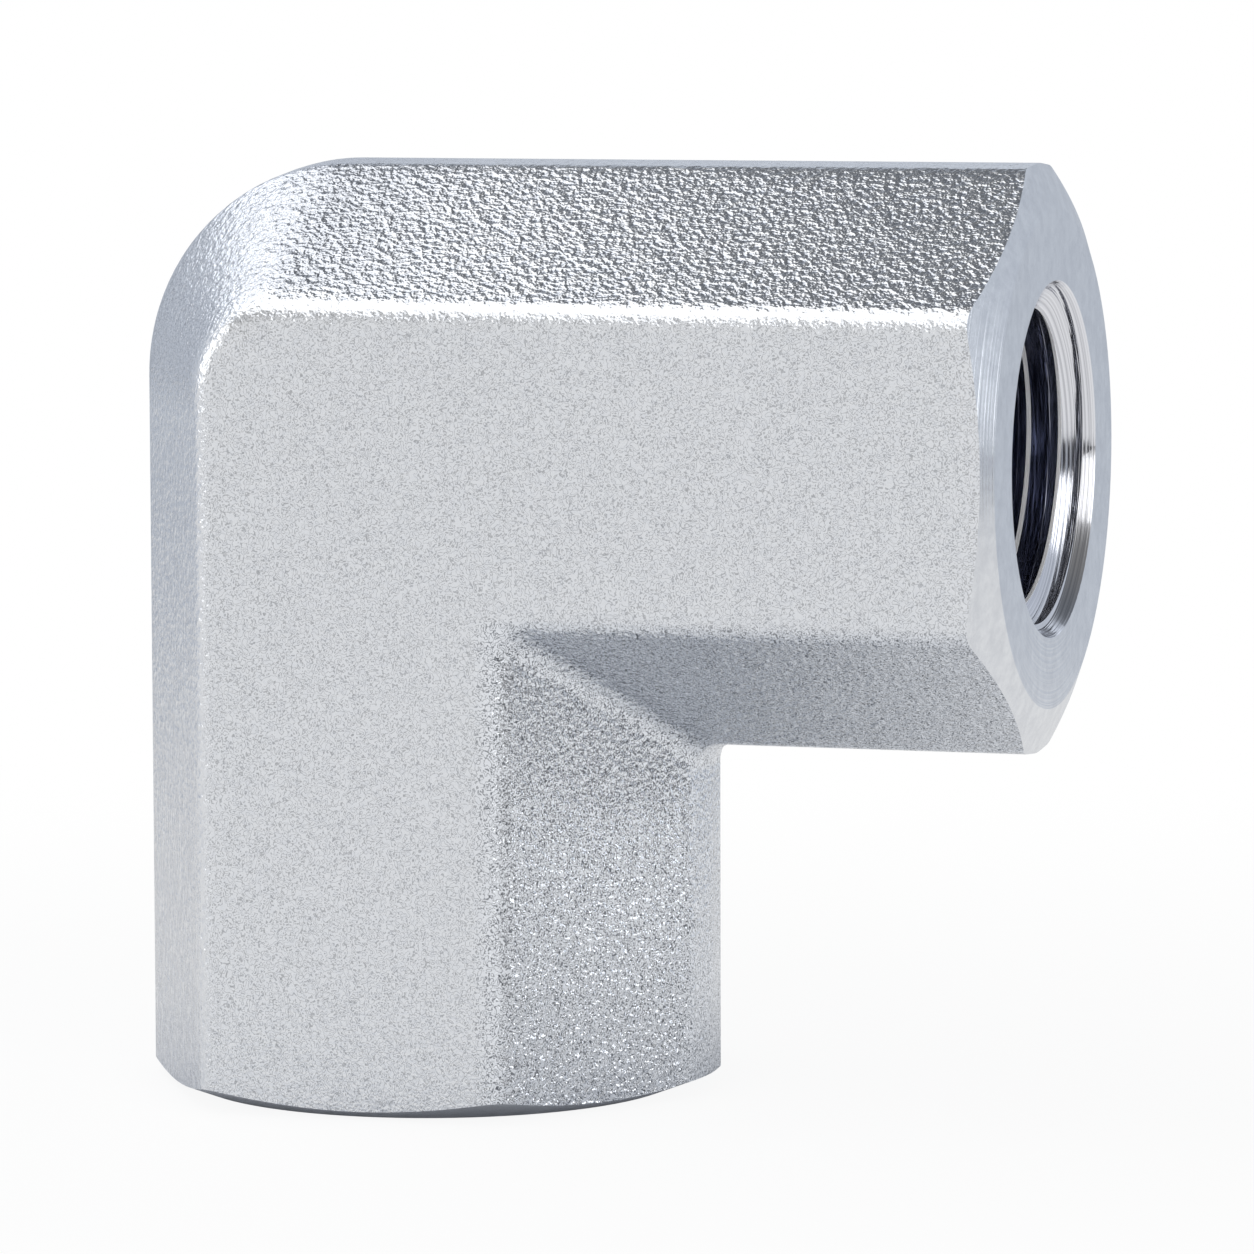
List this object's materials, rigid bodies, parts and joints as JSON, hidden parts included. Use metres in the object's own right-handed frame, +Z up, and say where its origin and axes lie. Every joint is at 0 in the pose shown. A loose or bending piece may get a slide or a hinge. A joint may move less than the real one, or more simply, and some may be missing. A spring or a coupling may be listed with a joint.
{
  "type": "female elbow fitting",
  "caption": "Right-angle forged steel pipe elbow with a taper-threaded female port at each end, for joining two male pipe ends.",
  "frame": {"origin": "centre of the lower port's mouth", "axes": "+Z up the lower arm's axis, away from its mouth; +X along the other arm, towards its mouth; Y = 0 is the parting plane"},
  "size_m": [0.0276, 0.0158, 0.0276],
  "materials": {
    "zinc_plated_steel": "shot-blasted forging with turned ends, bright zinc plated"
  },
  "bodies": {
    "root": {"elbow_body": "zinc_plated_steel"}
  },
  "joints": []
}
